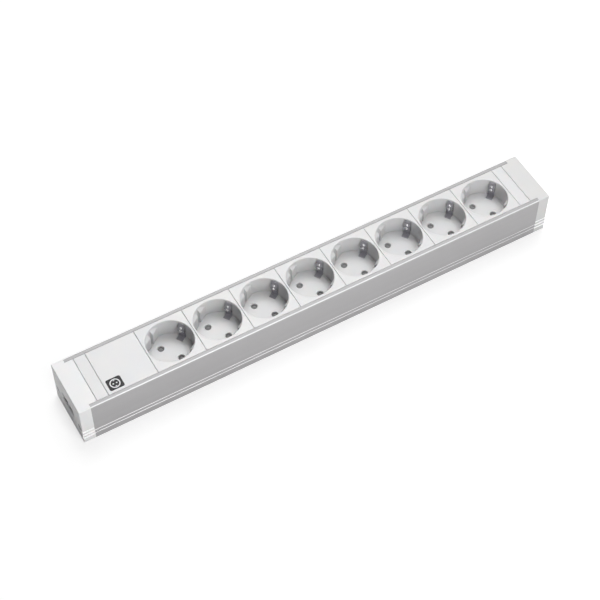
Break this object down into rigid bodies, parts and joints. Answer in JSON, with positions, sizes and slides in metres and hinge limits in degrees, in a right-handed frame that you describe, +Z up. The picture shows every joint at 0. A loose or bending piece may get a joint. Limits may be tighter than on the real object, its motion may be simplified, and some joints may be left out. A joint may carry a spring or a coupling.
{
  "type": "desk power strip",
  "caption": "Long rectangular desk power strip: aluminium channel, white drop-in modules with round recessed earthed sockets, a blank cover, end caps and spring-loaded shutters.",
  "frame": {"origin": "centre of the flat bottom face", "axes": "+X along the strip, away from the supply inlet and the blank cover; +Y to the back; +Z up, out of the sockets"},
  "size_m": [0.442, 0.052, 0.0443],
  "materials": {
    "anodised_aluminium": "satin anodised",
    "white_plastic": "moulded, semi-matte",
    "zinc_steel": "zinc plated",
    "grey_plastic": "moulded, matte",
    "spring_steel": "drawn wire",
    "nickel_strip": "nickel plated strip",
    "brass": "rolled",
    "inlet_plastic": "moulded, matte",
    "nickel_pins": "nickel plated",
    "wire_brown": "extruded insulation",
    "wire_blue": "extruded insulation",
    "wire_green_yellow": "extruded insulation, two-colour"
  },
  "bodies": {
    "strip": {"blank_cover": "white_plastic", "busbar_earth": "brass", "busbar_line": "brass", "busbar_neutral": "brass", "contact_tray": "grey_plastic", "earth_bow_1": "nickel_strip", "earth_bow_2": "nickel_strip", "earth_bow_3": "nickel_strip", "earth_bow_4": "nickel_strip", "earth_bow_5": "nickel_strip", "earth_bow_6": "nickel_strip", "earth_bow_7": "nickel_strip", "earth_bow_8": "nickel_strip", "earth_bow_rivets": "brass", "end_cap_closed": "white_plastic", "end_cap_inlet": "white_plastic", "end_cap_screws_far": "zinc_steel", "end_cap_screws_inlet": "zinc_steel", "filler_strip_far": "white_plastic", "filler_strip_inlet": "white_plastic", "housing_profile": "anodised_aluminium", "inlet_body": "inlet_plastic", "inlet_pins": "nickel_pins", "shutter_retainer_1": "grey_plastic", "shutter_retainer_2": "grey_plastic", "shutter_retainer_3": "grey_plastic", "shutter_retainer_4": "grey_plastic", "shutter_retainer_5": "grey_plastic", "shutter_retainer_6": "grey_plastic", "shutter_retainer_7": "grey_plastic", "shutter_retainer_8": "grey_plastic", "shutter_spring_1": "spring_steel", "shutter_spring_2": "spring_steel", "shutter_spring_3": "spring_steel", "shutter_spring_4": "spring_steel", "shutter_spring_5": "spring_steel", "shutter_spring_6": "spring_steel", "shutter_spring_7": "spring_steel", "shutter_spring_8": "spring_steel", "socket_insert_1": "white_plastic", "socket_insert_2": "white_plastic", "socket_insert_3": "white_plastic", "socket_insert_4": "white_plastic", "socket_insert_5": "white_plastic", "socket_insert_6": "white_plastic", "socket_insert_7": "white_plastic", "socket_insert_8": "white_plastic", "wire_earth": "wire_green_yellow", "wire_line": "wire_brown", "wire_neutral": "wire_blue"},
    "shutter_1": {"shutter_1": "grey_plastic"},
    "shutter_2": {"shutter_2": "grey_plastic"},
    "shutter_3": {"shutter_3": "grey_plastic"},
    "shutter_4": {"shutter_4": "grey_plastic"},
    "shutter_5": {"shutter_5": "grey_plastic"},
    "shutter_6": {"shutter_6": "grey_plastic"},
    "shutter_7": {"shutter_7": "grey_plastic"},
    "shutter_8": {"shutter_8": "grey_plastic"}
  },
  "joints": [
    {"name": "shutter_1_slide", "type": "slide", "parent": "strip", "child": "shutter_1", "axis": [0.8192, 0.5736, 0], "range_m": [0, 0.0058], "stiffness_N_per_m": 120, "springref_m": -0.002, "deforming": ["shutter_spring_1"]},
    {"name": "shutter_2_slide", "type": "slide", "parent": "strip", "child": "shutter_2", "axis": [0.8192, 0.5736, 0], "range_m": [0, 0.0058], "stiffness_N_per_m": 120, "springref_m": -0.002, "deforming": ["shutter_spring_2"]},
    {"name": "shutter_3_slide", "type": "slide", "parent": "strip", "child": "shutter_3", "axis": [0.8192, 0.5736, 0], "range_m": [0, 0.0058], "stiffness_N_per_m": 120, "springref_m": -0.002, "deforming": ["shutter_spring_3"]},
    {"name": "shutter_4_slide", "type": "slide", "parent": "strip", "child": "shutter_4", "axis": [0.8192, 0.5736, 0], "range_m": [0, 0.0058], "stiffness_N_per_m": 120, "springref_m": -0.002, "deforming": ["shutter_spring_4"]},
    {"name": "shutter_5_slide", "type": "slide", "parent": "strip", "child": "shutter_5", "axis": [0.8192, 0.5736, 0], "range_m": [0, 0.0058], "stiffness_N_per_m": 120, "springref_m": -0.002, "deforming": ["shutter_spring_5"]},
    {"name": "shutter_6_slide", "type": "slide", "parent": "strip", "child": "shutter_6", "axis": [0.8192, 0.5736, 0], "range_m": [0, 0.0058], "stiffness_N_per_m": 120, "springref_m": -0.002, "deforming": ["shutter_spring_6"]},
    {"name": "shutter_7_slide", "type": "slide", "parent": "strip", "child": "shutter_7", "axis": [0.8192, 0.5736, 0], "range_m": [0, 0.0058], "stiffness_N_per_m": 120, "springref_m": -0.002, "deforming": ["shutter_spring_7"]},
    {"name": "shutter_8_slide", "type": "slide", "parent": "strip", "child": "shutter_8", "axis": [0.8192, 0.5736, 0], "range_m": [0, 0.0058], "stiffness_N_per_m": 120, "springref_m": -0.002, "deforming": ["shutter_spring_8"]}
  ]
}
